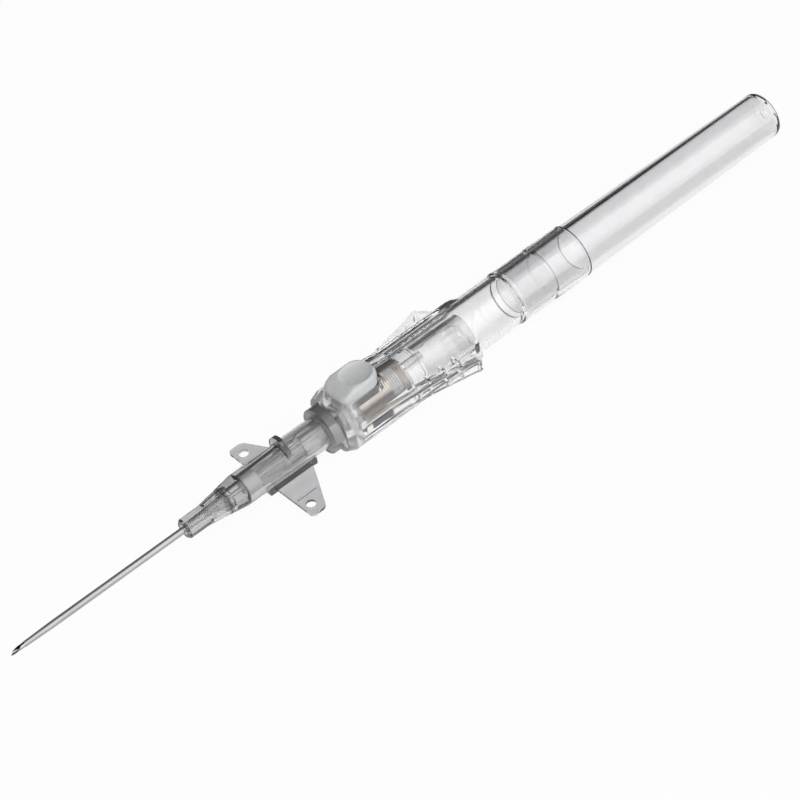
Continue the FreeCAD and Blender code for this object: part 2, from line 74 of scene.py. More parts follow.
softbox_direction = Vector((0.38, -0.45, 0.81)).normalized()
softbox_edge = 0.80
softbox_core = 0.97
softbox_strength = 1.3
key_place = Vector((0.02, -0.54, 0.40))
key_size = 1.10
key_power = 4.2
fill_place = Vector((-0.35, -0.30, 0.55))
fill_size = 1.0
fill_power = 0.4

camera_data = bpy.data.cameras.new("camera")
camera_data.lens = camera_lens
camera_data.sensor_width = camera_sensor
camera_data.clip_start = camera_near
camera_data.clip_end = camera_far
camera = bpy.data.objects.new("camera", camera_data)
camera_turn = Matrix((camera_right, camera_up, camera_right.cross(camera_up))).transposed()
camera.matrix_world = Matrix.Translation(camera_place) @ camera_turn.to_4x4()
bpy.context.scene.collection.objects.link(camera)
bpy.context.scene.camera = camera
bpy.context.scene.view_settings.view_transform = "Standard"


def feed(tree, node, *inputs):
    """Gives a node's inputs, by name or number, the socket or the value that goes in."""
    for key, value in inputs:
        if isinstance(value, bpy.types.NodeSocket):
            tree.links.new(value, node.inputs[key])
        else:
            node.inputs[key].default_value = value
    return node


def added(tree, kind, *inputs):
    """New node with what goes into it."""
    return feed(tree, tree.nodes.new(kind), *inputs)


def arithmetic(tree, operation, *values):
    """Result of a sum on sockets or values."""
    node = tree.nodes.new("ShaderNodeMath")
    node.operation = operation
    return feed(tree, node, *enumerate(values)).outputs[0]


def rescaled(tree, value, from_low, from_high, to_low=0.0, to_high=1.0, interpolation="LINEAR"):
    """A value carried over from one span to another."""
    node = tree.nodes.new("ShaderNodeMapRange")
    node.interpolation_type = interpolation
    feed(tree, node, ("Value", value), ("From Min", from_low), ("From Max", from_high), ("To Min", to_low),
         ("To Max", to_high))
    return node.outputs["Result"]


def colour_mix(tree, share, first, second, blend="MIX"):
    """Second colour over the first, or times the first, by a share."""
    node = tree.nodes.new("ShaderNodeMix")
    node.data_type = "RGBA"
    node.blend_type = blend
    return feed(tree, node, ("Factor", share), (6, first), (7, second)).outputs[2]


def ramp(tree, value, low, high, start=0.3, end=0.7):
    """Colour between two, by a value."""
    node = added(tree, "ShaderNodeValToRGB", ("Fac", value))
    for number, (position, colour) in enumerate(((start, low), (end, high))):
        node.color_ramp.elements[number].position = position
        node.color_ramp.elements[number].color = (*colour, 1)
    return node.outputs["Color"]


def axes(tree):
    """The Object coordinate's X, Y and Z, in metres."""
    place = tree.nodes.new("ShaderNodeTexCoord").outputs["Object"]
    return added(tree, "ShaderNodeSeparateXYZ", ("Vector", place)).outputs


def toward(tree, direction, target):
    """How far a direction points to a target: 1 is straight at it."""
    node = tree.nodes.new("ShaderNodeVectorMath")
    node.operation = "DOT_PRODUCT"
    return feed(tree, node, (0, direction), (1, target)).outputs["Value"]


def seen(tree):
    """Socket that is 1 for camera rays, and one that is 1 for camera, mirror and see-through rays."""
    path = tree.nodes.new("ShaderNodeLightPath").outputs
    either = arithmetic(tree, "MAXIMUM", path["Is Glossy Ray"], path["Is Transmission Ray"])
    return path["Is Camera Ray"], arithmetic(tree, "MAXIMUM", path["Is Camera Ray"], either)


def plain_for_camera(tree, camera_ray, strength):
    """A strength that is 1 where the camera looks straight at the background."""
    return added(tree, "ShaderNodeMix", ("Factor", camera_ray), (2, strength), (3, 1.0)).outputs[0]


def shared_shader(tree, share, first, second):
    """Two shaders mixed by a share."""
    return added(
        tree, "ShaderNodeMixShader", ("Fac", share), (1, first.outputs[0]), (2, second.outputs[0])).outputs[0]


world = bpy.data.worlds.new("light_tent")
bpy.context.scene.world = world
world.use_nodes = True
tent = world.node_tree
tent.nodes.clear()
camera_ray, directly = seen(tent)
direction = tent.nodes.new("ShaderNodeTexCoord").outputs["Generated"]
flag = ramp(tent, toward(tent, direction, flag_direction), plain_white[:3], flag_colour, flag_edge, flag_core)
flag.node.color_ramp.elements.new((flag_edge + flag_core) / 2).color = flag_rim_colour
softbox = rescaled(
    tent, toward(tent, direction, softbox_direction), softbox_edge, softbox_core, 1.0, softbox_strength,
    "SMOOTHSTEP")
tent_seen = added(
    tent, "ShaderNodeBackground", ("Color", colour_mix(tent, camera_ray, flag, plain_white)),
    ("Strength", plain_for_camera(tent, camera_ray, softbox)))
tent_light = added(tent, "ShaderNodeBackground", ("Strength", tent_ambient))
added(tent, "ShaderNodeOutputWorld", ("Surface", shared_shader(tent, directly, tent_light, tent_seen)))

bpy.ops.object.select_all(action="DESELECT")
bpy.ops.mesh.primitive_plane_add(size=floor_size, location=(0, 0, -floor_gap))
floor = bpy.context.object
floor.name = "floor"
bpy.ops.object.transform_apply()
floor_white = bpy.data.materials.new("floor_white")
floor_white.use_nodes = True
sweep = floor_white.node_tree
sweep.nodes.clear()
camera_ray, directly = seen(sweep)
far_side = rescaled(
    sweep, axes(sweep)["Y"], floor_far_white, floor_far_dark, 1.0, floor_far_level, "SMOOTHSTEP")
paper = added(sweep, "ShaderNodeBsdfDiffuse", ("Color", floor_colour))
glow = added(sweep, "ShaderNodeEmission", ("Strength", plain_for_camera(sweep, camera_ray, far_side)))
glow_share = arithmetic(sweep, "MULTIPLY", directly, floor_glow)
added(sweep, "ShaderNodeOutputMaterial", ("Surface", shared_shader(sweep, glow_share, paper, glow)))
floor.data.materials.append(floor_white)

for name, place, size, power in (
        ("key_light", key_place, key_size, key_power), ("fill_light", fill_place, fill_size, fill_power)):
    lamp_data = bpy.data.lights.new(name, "AREA")
    lamp_data.size = size
    lamp_data.energy = power
    lamp = bpy.data.objects.new(name, lamp_data)
    lamp.location = place
    lamp.rotation_euler = (-place).to_track_quat("-Z", "Y").to_euler()
    bpy.context.scene.collection.objects.link(lamp)


# Introducer needle: drawn steel tube of 0.76 mm with a three-facet point, bevel up, and a flash notch cut
# through its wall behind the point. It is glued into the needle hub, and runs through all that stands ahead.
MM = 0.001
merge_distance = 0.0008 * MM
overall_length = 151.6
needle_radius = 0.38
needle_bore = 0.25
needle_end = 79.0
bevel_angle = 20.0
side_grind_angle = 14.0
side_grind_turn = 38.0
notch_station = 8.2
notch_length = 1.1
notch_depth = 0.16
tube_segments = 64
along_axis = (0, math.pi / 2, 0)
steel_dark = (0.36, 0.35, 0.35)
steel_light = (0.42, 0.41, 0.41)
needle_roughness = 0.24
needle_marks = (0.05, 1.2, 1.2)
rear_low, rear_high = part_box("rear_tube")
axis_height = (rear_low.z + rear_high.z) / 2


def at(station, across=0.0, height=0.0):
    """Place of a station from the needle's point, across to the far side and above the axis, in mm."""
    return Vector((rear_high.x + (station - overall_length) * MM, across * MM, axis_height + height * MM))


def named(name):
    """Takes the object just made, under its own name and with its place in its mesh."""
    piece = bpy.context.object
    piece.name = name
    piece.data.name = name
    bpy.ops.object.transform_apply()
    return piece


def alone(piece):
    """Selects one piece alone."""
    bpy.ops.object.select_all(action="DESELECT")
    piece.select_set(True)
    bpy.context.view_layer.objects.active = piece


def open_mesh():
    """Starts editing, with the whole mesh selected."""
    bpy.ops.object.mode_set(mode="EDIT")
    bpy.ops.mesh.select_all(action="SELECT")


def pull(step, share, centre):
    """Draws the selected end out by a step and scales it about its new centre."""
    bpy.ops.mesh.extrude_region_move(TRANSFORM_OT_translate={"value": step})
    bpy.ops.transform.resize(value=share, center_override=centre)


def close_mesh():
    """Merges doubled points and turns all faces outwards, in edit mode."""
    bpy.ops.mesh.select_all(action="SELECT")
    bpy.ops.mesh.remove_doubles(threshold=merge_distance)
    bpy.ops.mesh.normals_make_consistent(inside=False)
    bpy.ops.object.mode_set(mode="OBJECT")


def turned(name, outline, segments=96):
    """Turned solid, drawn out ring by ring. An outline that starts on the axis gets a pole at each end."""
    poles = outline[0][1] == 0
    rings = outline[1:] if poles else outline + outline[:1]
    station, radius = rings[0]
    bpy.ops.object.select_all(action="DESELECT")
    bpy.ops.mesh.primitive_circle_add(
        vertices=segments, radius=radius * MM, location=at(station), rotation=along_axis)
    piece = named(name)
    open_mesh()

    def next_ring(from_station, from_radius, to_station, to_radius):
        share = to_radius / from_radius
        pull(at(to_station) - at(from_station), (1, share, share), at(to_station))

    for to_station, to_radius in rings[1:]:
        next_ring(station, radius, to_station, to_radius)
        station, radius = to_station, to_radius
    if poles:
        bpy.ops.mesh.select_all(action="SELECT")
        bpy.ops.mesh.remove_doubles(threshold=merge_distance)
        bpy.ops.mesh.select_all(action="DESELECT")
        bpy.ops.mesh.select_non_manifold(
            extend=False, use_wire=False, use_boundary=True, use_multi_face=False,
            use_non_contiguous=False, use_verts=False)
        next_ring(rings[0][0], rings[0][1], outline[0][0], 0.0)
    close_mesh()
    return piece


def block(name, low, high):
    """Box between two corners, each a station, a reach across and a height in mm."""
    bpy.ops.object.select_all(action="DESELECT")
    bpy.ops.mesh.primitive_cube_add(size=1, location=(at(*low) + at(*high)) / 2)
    bpy.context.object.scale = at(*high) - at(*low)
    return named(name)


def applied(piece, modifier):
    """Puts a modifier's work into the mesh."""
    bpy.context.view_layer.objects.active = piece
    bpy.ops.object.modifier_apply(modifier=modifier.name)


def combine(piece, other, operation):
    """Unites a piece with another solid, cuts that away or keeps what both share, and drops the other."""
    modifier = piece.modifiers.new("combine", "BOOLEAN")
    modifier.operation = operation
    modifier.object = other
    modifier.solver = "MANIFOLD"
    applied(piece, modifier)
    bpy.data.objects.remove(other)


def join(piece, other):
    combine(piece, other, "UNION")


def cut(piece, other):
    combine(piece, other, "DIFFERENCE")


def turn_about(piece, angle, axis, pivot):
    """Turns a piece about a line through a point, in its mesh."""
    piece.matrix_world = (
        Matrix.Translation(pivot) @ Matrix.Rotation(math.radians(angle), 4, axis) @ Matrix.Translation(-pivot))
    alone(piece)
    bpy.ops.object.transform_apply()
    return piece


def smooth(piece, angle=35.0):
    """Smooth shading that keeps edges sharper than an angle."""
    alone(piece)
    bpy.ops.object.shade_smooth_by_angle(angle=math.radians(angle))
    weighted = piece.modifiers.new("flat_faces_stay_flat", "WEIGHTED_NORMAL")
    weighted.keep_sharp = True
    applied(piece, weighted)


def finished(piece, material, body, slot, *nodes):
    """Gives a piece its material, the body it rides on and the solids it stands for; its slot is not used."""
    piece.data.materials.clear()
    piece.data.materials.append(material)
    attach(piece, body)
    if nodes:
        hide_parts(*nodes)


def stretched(tree, vector, scale):
    """A coordinate scaled by a factor on each axis, so that marks run along the axis."""
    return added(tree, "ShaderNodeMapping", ("Scale", scale), ("Vector", vector)).outputs["Vector"]


def new_material(name):
    """Node material with its tree, its shader and the Object coordinate in millimetres."""
    material = bpy.data.materials.new(name)
    material.use_nodes = True
    tree = material.node_tree
    place = tree.nodes.new("ShaderNodeTexCoord").outputs["Object"]
    return material, tree, tree.nodes["Principled BSDF"], stretched(tree, place, (1 / MM, 1 / MM, 1 / MM))


def noise(tree, vector, scale, detail=2.0):
    """Cloudy value, with a scale in waves per mm."""
    node = added(tree, "ShaderNodeTexNoise", ("Scale", scale), ("Detail", detail), ("Vector", vector))
    return node.outputs["Fac"]


def varied(tree, shader, value, low, high, rough_low, rough_high):
    """Base colour and roughness that vary together with a value."""
    feed(tree, shader, ("Base Color", ramp(tree, value, low, high)),
         ("Roughness", ramp(tree, value, (rough_low,) * 3, (rough_high,) * 3)))


def drawn_steel(name, low, high, roughness, marks):
    """Drawn or ground steel, with fine marks along the axis."""
    material, tree, shader, place = new_material(name)
    lengthwise = noise(tree, stretched(tree, place, marks), 1.0, 1.0)
    shader.inputs["Metallic"].default_value = 1.0
    varied(tree, shader, lengthwise, low, high, roughness * 0.75, roughness * 1.3)
    return material


needle_steel = drawn_steel("needle_steel", steel_dark, steel_light, needle_roughness, needle_marks)
needle = turned("introducer_needle_tube", [
    (0, needle_bore), (0, needle_radius), (needle_end, needle_radius), (needle_end, needle_bore)],
    tube_segments)
bevel_length = 2 * needle_radius / math.tan(math.radians(bevel_angle))
cutter_half = 1.5 * bevel_length
for angle, turn in (
        (bevel_angle, 0), (bevel_angle + side_grind_angle, side_grind_turn),
        (bevel_angle + side_grind_angle, -side_grind_turn)):
    cutter = block("cutter", (-cutter_half, -cutter_half, -needle_radius), (
        cutter_half, cutter_half, 2 * cutter_half - needle_radius))
    turn_about(cutter, -angle, "Y", at(0, 0, -needle_radius))
    turn_about(cutter, turn, "X", at(0))
    cut(needle, cutter)
cut(needle, block("cutter", (notch_station, -needle_radius, needle_radius - notch_depth), (
    notch_station + notch_length, needle_radius, 2 * needle_radius)))
smooth(needle)
finished(needle, needle_steel, "needle_carrier", "needle_steel", "introducer_needle")


# Catheter: clear extruded tube that fits close over the needle and shows its steel's tone ahead of the hub. Its
# tip is drawn down to a thin edge, and its rear end swelled over the metal wedge that holds it in the hub.
catheter_bore = 0.40
catheter_wall = 0.15
catheter_tip_wall = 0.04
catheter_tip = 2.6
catheter_taper = 5.1
skin_gap = 0.05
wedge_front = 36.8
wedge_length = 3.2
wedge_wall = 0.09
wedge_rise = 0.34
catheter_radius = catheter_bore + catheter_wall
wedge_end = wedge_front + wedge_length
wedge_rear_radius = catheter_bore + wedge_wall + wedge_rise
swell_start = wedge_front - wedge_wall * wedge_length / wedge_rise
catheter_clears = (35.8, 36.2)
catheter_steeliness = 0.55
catheter_cover = 0.30


def zoned(tree, shader, start, end, *sockets):
    """Sockets that go from one value to another between two stations."""
    for socket, ahead, behind in sockets:
        feed(tree, shader, (socket, rescaled(tree, axes(tree)["X"], at(start).x, at(end).x, ahead, behind)))


catheter_polymer, tree, shader, place = new_material("catheter_polymer")
cloud = noise(tree, stretched(tree, place, (0.2, 1, 1)), 0.8)
varied(tree, shader, cloud, steel_dark, steel_light, 0.18, 0.24)
zoned(tree, shader, *catheter_clears, ("Metallic", catheter_steeliness, 0.0), ("Alpha", 1.0, catheter_cover))
catheter = turned("catheter_tubing", [
    (catheter_tip, catheter_bore), (catheter_tip, catheter_bore + catheter_tip_wall),
    (catheter_tip + catheter_taper, catheter_radius), (swell_start, catheter_radius),
    (wedge_end, wedge_rear_radius + catheter_wall), (wedge_end, wedge_rear_radius + skin_gap),
    (swell_start, catheter_bore + skin_gap), (catheter_tip + catheter_taper, catheter_bore + skin_gap)],
    tube_segments)
smooth(catheter)
finished(catheter, catheter_polymer, "catheter", "catheter_polymer", "catheter_tube")


# Catheter wedge: thin funnel spun from bright metal, pressed into the catheter's rear end, seen through the
# hub's nose.
wedge_metal = drawn_steel("wedge_metal", (0.45, 0.45, 0.45), (0.70, 0.69, 0.68), 0.22, (0.4, 2, 2))
wedge = turned("catheter_wedge_funnel", [
    (wedge_front, catheter_bore), (wedge_front, catheter_bore + wedge_wall), (wedge_end, wedge_rear_radius),
    (wedge_end, wedge_rear_radius - wedge_wall)], tube_segments)
smooth(wedge)
finished(wedge, wedge_metal, "catheter", "wedge_steel", "catheter_wedge")


# Catheter hub: one smoke-grey see-through moulding with nose, body, luer flange with lugs, push-off tab, keel
# and two thin wings. The tint is in the plastic, so thick places look dark and the wings pale. Shade is also
# painted into its colour: the flange, the shoulder ring, the tab's top and the keel's bottom are painted
# darker.
nose_front = 32.4
nose_radius = 1.67
nose_chamfer = 0.3
nose_end = 35.9
mouth_radius = 0.80
mouth_depth = 0.45
bond_gap = 0.05
shoulder_station = 39.9
shoulder_radius = 2.16
shoulder_step = 0.06
body_front = 42.8
body_radius = 2.66
flange_front = 58.8
flange_rear = 60.4
flange_radius = 3.85
notch_floor_radius = 3.15
notch_angles = (-6.0, -38.0)
luer_mouth = 2.135
luer_taper = 0.03
septum_front = 43.5
septum_length = 2.5
pocket_front = 36.9
pocket_length = 4.1
pocket_inner = 1.22
pocket_wall = 0.42
pocket_ribs = 4
pocket_rib_width = 0.42
tab_front = 51.1
tab_thickness = 0.75
tab_radius = 2.2
tab_rise = 2.05
rail_height = 0.18
rail_width = 0.3
rail_angle = 32.0
rail_lap = 0.1
wing_top = -2.72
wing_thickness = 0.42
wing_front = 48.25
wing_tip_reach = 10.15
wing_rear_edge = ((0.3, 55.9), (0.9, 55.9), (1.6, 55.4), (2.5, 54.85), (4.0, 54.1), (10.15, 50.9))
wing_corner = 0.75
wing_hole_station = 49.7
wing_hole_reach = 8.0
wing_hole_radius = 0.80
wing_bead_front = 48.7
wing_bead_rear = 52.3
wing_bead_reach = 6.1
wing_bead_width = 0.24
wing_bead_height = 0.16
keel_front = 46.9
keel_rear = 56.0
keel_half_width = 2.0
keel_bottom = -3.45
keel_round = 0.5
overcut = 1.0
beyond = 20.0
touch = 0.001 * MM
tint_blend = 0.1
smoke_clearness = 0.93
smoke_ior = 1.49
hub_density = 205.0
hub_roughness = 0.03
hub_flange_clearness = 0.45
hub_flange_roughness = 0.22
hub_flange_painted_shade = (0.62, 0.62, 0.625, 1)
hub_ring = (39.75, 40.25)
hub_ring_painted_shade = (0.30, 0.30, 0.31, 1)
hub_tab_floor = 2.75
hub_keel_ceiling = -3.15
hub_ridge_painted_shade = (0.45, 0.45, 0.46, 1)
hub_wing_reach = 3.4
hub_wing_tint = (0.94, 0.93, 0.94, 1)


def luer_radius(station):
    """Radius of the hub's luer bore, which is widest at its mouth."""
    return luer_mouth - luer_taper * (flange_rear - station)


def rod(name, start, end, radius, height=0.0):
    """Round rod along the axis, off it by a height."""
    bpy.ops.object.select_all(action="DESELECT")
    bpy.ops.mesh.primitive_cylinder_add(
        vertices=tube_segments, radius=radius * MM, depth=(end - start) * MM,
        location=at((start + end) / 2, 0, height), rotation=along_axis)
    return named(name)


def drawn(name, sections, along):
    """Bar pulled from one rectangular section to the next. A section is its middle, its two sizes in mm."""
    middle, width, height = sections[0]
    bpy.ops.object.select_all(action="DESELECT")
    turn = along_axis if along == "X" else (math.pi / 2, 0, 0)
    bpy.ops.mesh.primitive_plane_add(size=1, location=middle, rotation=turn)
    plane = bpy.context.object
    plane.scale = (height * MM, width * MM, 1) if along == "X" else (width * MM, height * MM, 1)
    piece = named(name)
    open_mesh()
    for next_middle, next_width, next_height in sections[1:]:
        across, up = next_width / width, next_height / height
        pull(next_middle - middle, (1, across, up) if along == "X" else (across, 1, up), next_middle)
        middle, width, height = next_middle, next_width, next_height
    close_mesh()
    return piece


def round_edges(piece, chosen, radius, segments):
    """Rounds the edges whose two end points both pass a test."""
    alone(piece)
    bpy.ops.object.mode_set(mode="EDIT")
    bpy.ops.mesh.select_mode(type="EDGE")
    bpy.ops.mesh.select_all(action="DESELECT")
    bpy.ops.object.mode_set(mode="OBJECT")
    points = piece.data.vertices
    for edge in piece.data.edges:
        edge.select = chosen(points[edge.vertices[0]].co, points[edge.vertices[1]].co)
    bpy.ops.object.mode_set(mode="EDIT")
    bpy.ops.mesh.bevel(offset=radius * MM, segments=segments, affect="EDGES")
    bpy.ops.mesh.select_mode(type="VERT")
    bpy.ops.object.mode_set(mode="OBJECT")


def level(first, second, place):
    """True where both of two coordinates lie at a place."""
    return abs(first - place) < touch and abs(second - place) < touch


def cut_round(piece, count, low, high):
    """Cuts away a box between two corners, repeated round the axis from 45 degrees on."""
    for number in range(count):
        cutter = turn_about(block("cutter", low, high), 45 + number * 360 / count, "X", at(0))
        cut(piece, cutter)


def hub_wing(side):
    """Thin wing on one side, with its round-cornered tip, suture hole and score bead."""
    sections = []
    for reach, rear in wing_rear_edge:
        middle = at((wing_front + rear) / 2, side * reach, wing_top - wing_thickness / 2)
        sections.append((middle, rear - wing_front, wing_thickness))
    wing = drawn("wing", sections, "Y")
    tip = side * wing_tip_reach * MM
    round_edges(wing, lambda a, b: level(a.y, b.y, tip) and abs(a.z - b.z) > touch, wing_corner, 8)
    bpy.ops.object.select_all(action="DESELECT")
    bpy.ops.mesh.primitive_cylinder_add(
        vertices=48, radius=wing_hole_radius * MM, depth=4 * wing_thickness * MM,
        location=at(wing_hole_station, side * wing_hole_reach, wing_top))
    cut(wing, named("cutter"))
    inner, outer = sorted(side * (wing_bead_reach + half * wing_bead_width / 2) for half in (-1, 1))
    join(wing, block("bead", (wing_bead_front, inner, wing_top - wing_bead_height), (
        wing_bead_rear, outer, wing_top + wing_bead_height)))
    return wing


def between(tree, value, low, high, blend):
    """Mask that is 1 where a value lies between two limits, and fades over a short way outside them."""
    return arithmetic(
        tree, "MULTIPLY", rescaled(tree, value, low - blend, low), rescaled(tree, value, high + blend, high))


def bump(tree, shader, height, distance):
    """Fine relief of a depth in mm."""
    node = added(tree, "ShaderNodeBump", ("Strength", 1.0), ("Distance", distance * MM), ("Height", height))
    feed(tree, shader, ("Normal", node.outputs["Normal"]))


def smoke_plastic(name, low, high, density, roughness):
    """See-through plastic with its tint in the mass, which deepens with thickness."""
    material, tree, shader, place = new_material(name)
    shader.inputs["Transmission Weight"].default_value = smoke_clearness
    shader.inputs["IOR"].default_value = smoke_ior
    varied(tree, shader, noise(tree, place, 0.6, 3.0), low, high, roughness * 0.6, roughness * 1.4)
    bump(tree, shader, noise(tree, stretched(tree, place, (0.3, 1, 1)), 1.1, 1.0), 0.002)
    absorption = tree.nodes.new("ShaderNodeVolumeAbsorption")
    absorption.inputs["Color"].default_value = (0.10, 0.11, 0.11, 1)
    absorption.inputs["Density"].default_value = density
    tree.links.new(absorption.outputs["Volume"], tree.nodes["Material Output"].inputs["Volume"])
    return material


hub_smoke = smoke_plastic("hub_smoke", (0.90, 0.90, 0.905), (0.94, 0.94, 0.94), hub_density, hub_roughness)
tree = hub_smoke.node_tree
shader = tree.nodes["Principled BSDF"]
station, across, height = axes(tree)
tint = shader.inputs["Base Color"].links[0].from_socket
# Painted shade: the flange, the ring at the shoulder, the tab's top and the keel's bottom are painted darker
# than the rest of the one moulding; the wings are made a little greyer.
for value, low, high, blend, dark in (
        (station, at(flange_front).x, at(flange_rear + overcut).x, tint_blend, hub_flange_painted_shade),
        (station, at(hub_ring[0]).x, at(hub_ring[1]).x, tint_blend, hub_ring_painted_shade),
        (height, at(0, 0, hub_tab_floor).z, at(0, 0, beyond).z, 0.15, hub_ridge_painted_shade),
        (height, at(0, 0, -beyond).z, at(0, 0, hub_keel_ceiling).z, 0.2, hub_ridge_painted_shade),
        (arithmetic(tree, "ABSOLUTE", across), hub_wing_reach * MM, beyond * MM, 0.6, hub_wing_tint)):
    tint = colour_mix(tree, between(tree, value, low, high, blend * MM), tint, dark, "MULTIPLY")
feed(tree, shader, ("Base Color", tint))
zoned(tree, shader, flange_front - tint_blend, flange_front,
      ("Transmission Weight", smoke_clearness, hub_flange_clearness),
      ("Roughness", hub_roughness, hub_flange_roughness))
hub = turned("catheter_hub_moulding", [
    (nose_front, 0), (nose_front, nose_radius - nose_chamfer), (nose_front + nose_chamfer, nose_radius),
    (nose_end, nose_radius), (shoulder_station, shoulder_radius),
    (shoulder_station, shoulder_radius + shoulder_step), (body_front, body_radius), (flange_front, body_radius),
    (flange_front, flange_radius), (flange_rear, flange_radius), (flange_rear, 0)])
join(hub, rod("tab", tab_front, tab_front + tab_thickness, tab_radius, tab_rise))
keel = block("keel", (keel_front, -keel_half_width, keel_bottom), (
    keel_rear, keel_half_width, wing_top + body_radius / 2))
keel_floor = at(0, 0, keel_bottom).z
round_edges(keel, lambda a, b: level(a.z, b.z, keel_floor), keel_round, 5)
join(hub, keel)
for side in (1, -1):
    join(hub, hub_wing(side))
    rail = block("rail", (tab_front + tab_thickness / 2, -rail_width / 2, body_radius - rail_width), (
        flange_front + rail_lap, rail_width / 2, body_radius + rail_height))
    join(hub, turn_about(rail, side * rail_angle, "X", at(0)))
    ring_front, ring_rear = flange_front - overcut / 2, flange_rear + overcut / 2
    ring = turned("ring", [
        (ring_front, notch_floor_radius), (ring_rear, notch_floor_radius), (ring_rear, 2 * flange_radius),
        (ring_front, 2 * flange_radius)])
    for notch_angle, operation in zip(notch_angles, ("INTERSECT", "DIFFERENCE")):
        sector = block(
            "sector", (flange_front - overcut, min(0, side * 3 * flange_radius), -3 * flange_radius),
            (flange_rear + overcut, max(0, side * 3 * flange_radius), 0))
        combine(ring, turn_about(sector, side * notch_angle, "X", at(0)), operation)
    cut(hub, ring)
seat = luer_radius(septum_front + septum_length)
bore_radius = catheter_radius + bond_gap
swell_end = wedge_rear_radius + catheter_wall + bond_gap
cut(hub, turned("bore", [
    (nose_front - overcut, 0), (nose_front - overcut, mouth_radius), (nose_front, mouth_radius),
    (nose_front + mouth_depth, bore_radius), (swell_start, bore_radius), (wedge_end, swell_end),
    (septum_front, swell_end), (septum_front, seat), (septum_front + septum_length, seat),
    (flange_rear + overcut, luer_radius(flange_rear + overcut)), (flange_rear + overcut, 0)]))
share = (pocket_front - nose_end) / (shoulder_station - nose_end)
pocket_front_radius = nose_radius + share * (shoulder_radius - nose_radius) - pocket_wall
pocket_rear = pocket_front + pocket_length
pocket = turned("pocket", [
    (pocket_front, pocket_inner), (pocket_front, pocket_front_radius),
    (shoulder_station, shoulder_radius - pocket_wall), (pocket_rear, shoulder_radius - pocket_wall),
    (pocket_rear, pocket_inner)])
cut_round(pocket, pocket_ribs, (pocket_front - overcut, -pocket_rib_width / 2, 0), (
    pocket_rear + overcut, pocket_rib_width / 2, shoulder_radius))
cut(hub, pocket)
smooth(hub)
finished(hub, hub_smoke, "catheter", "hub_grey", "catheter_hub")


# Blood-control septum: soft pale rubber disc with a slit that the needle passes, seated in the hub.
slit_radius = 0.41
rubber, tree, shader, place = new_material("septum_rubber")
specks = noise(tree, place, 6.0, 3.0)
varied(tree, shader, specks, (0.62, 0.62, 0.61), (0.74, 0.74, 0.73), 0.45, 0.65)
bump(tree, shader, specks, 0.01)
septum = turned("septum_disc", [
    (septum_front, slit_radius), (septum_front, seat - bond_gap),
    (septum_front + septum_length, seat - bond_gap), (septum_front + septum_length, slit_radius)])
smooth(septum)
finished(septum, rubber, "catheter", "septum_rubber", "blood_control_septum")


# Septum actuator: pale hollow cone on a slotted ring, that a luer connector pushes forward through the septum.
actuator_front = 46.35
actuator_cone = 4.2
actuator_tip_radius = 0.78
actuator_bore = 0.55
actuator_ring = 3.4
actuator_wall = 0.38
actuator_gap = 0.10
actuator_stroke = 2.4
actuator_shoulder = 0.35
actuator_slot_width = 0.8
actuator_slot_length = 2.2
actuator_plastic = smoke_plastic("actuator_plastic", (0.86, 0.87, 0.88), (0.93, 0.94, 0.94), 60.0, 0.18)
cone_end = actuator_front + actuator_cone
ring_end = cone_end + actuator_ring
ring_radius = luer_radius(cone_end - actuator_stroke) - actuator_gap
actuator = turned("actuator_cone", [
    (actuator_front, actuator_bore), (actuator_front, actuator_tip_radius),
    (cone_end, ring_radius - actuator_shoulder), (cone_end, ring_radius), (ring_end, ring_radius),
    (ring_end, ring_radius - actuator_wall), (cone_end + actuator_wall, ring_radius - actuator_wall),
    (cone_end + actuator_wall, actuator_bore)])
for turn in (0, 90):
    slot_cut = block("slot", (ring_end - actuator_slot_length, -2 * ring_radius, -actuator_slot_width / 2), (
        ring_end + overcut, 2 * ring_radius, actuator_slot_width / 2))
    cut(actuator, turn_about(slot_cut, turn, "X", at(0)))
smooth(actuator)
finished(actuator, actuator_plastic, "actuator", "actuator_plastic", "septum_actuator")


# Grip housing: one clear moulding with the luer spigot that carries the hub, the saddle round the button, the
# spring chamber, two ribbed finger flares and the rear collar. A dark, broken line of painted shade runs along
# its flanks.
spigot_front = 54.6
spigot_bore = 0.95
spigot_lead = 0.4
spigot_lead_drop = 0.15
spigot_lap = 0.2
luer_gap = 0.04
nose_face = 60.7
face_half = 4.1
nose_half = 4.6
nose_full = 62.0
saddle_corner = 2.5
saddle_top = 4.5
saddle_rear = 70.07
neck_station = 73.5
neck_half = 4.45
neck_top = 4.1
cheek_end = 90.4
barrel_lap = 0.07
barrel_radius = 4.47
collar_radius = 4.56
socket_front = 96.9
collar_rear = 109.9
collar_edge = 0.06
ring_depth = 0.16
ring_slope = 0.35
ring_width = 0.25
ring_starts = ((95.25, barrel_radius), (102.15, collar_radius), (109.2, collar_radius))
chamber_radius = 3.40
socket_radius = 4.0
bulkhead_front = 63.85
bulkhead_rear = 64.6
passage_front = 61.6
passage_radius = 1.66
flare_root = (66.0, 4.35)
flare_mid = (76.5, 6.0)
flare_tip = (84.4, 7.75)
flare_steps = 14
flare_thickness = 0.8
flare_half_height = 1.45
web_thickness = 0.8
web_lap = 0.2
flare_rib_pitch = 2.6
flare_rib_count = 6
flare_first_rib = 68.2
flare_rib_thickness = 0.45
rib_inset = 0.04
end_plate = 0.8
button_front = 62.25
button_length = 7.7
button_half_width = 2.85
button_top = 6.15
button_underside = 4.95
button_travel = 1.15
button_corner = 1.3
button_gap = 0.12
button_skirt = 4.1
button_skirt_wall = 0.5
latch_front = 62.7
latch_thickness = 0.8
latch_half_width = 2.5
latch_bottom = -2.35
well_floor_gap = 0.15
housing_clearness = 0.95
housing_roughness = 0.02
clouded_clearness = 0.82
clouded_roughness = 0.10
clouded_from = 63.6
clouded_end = 64.6
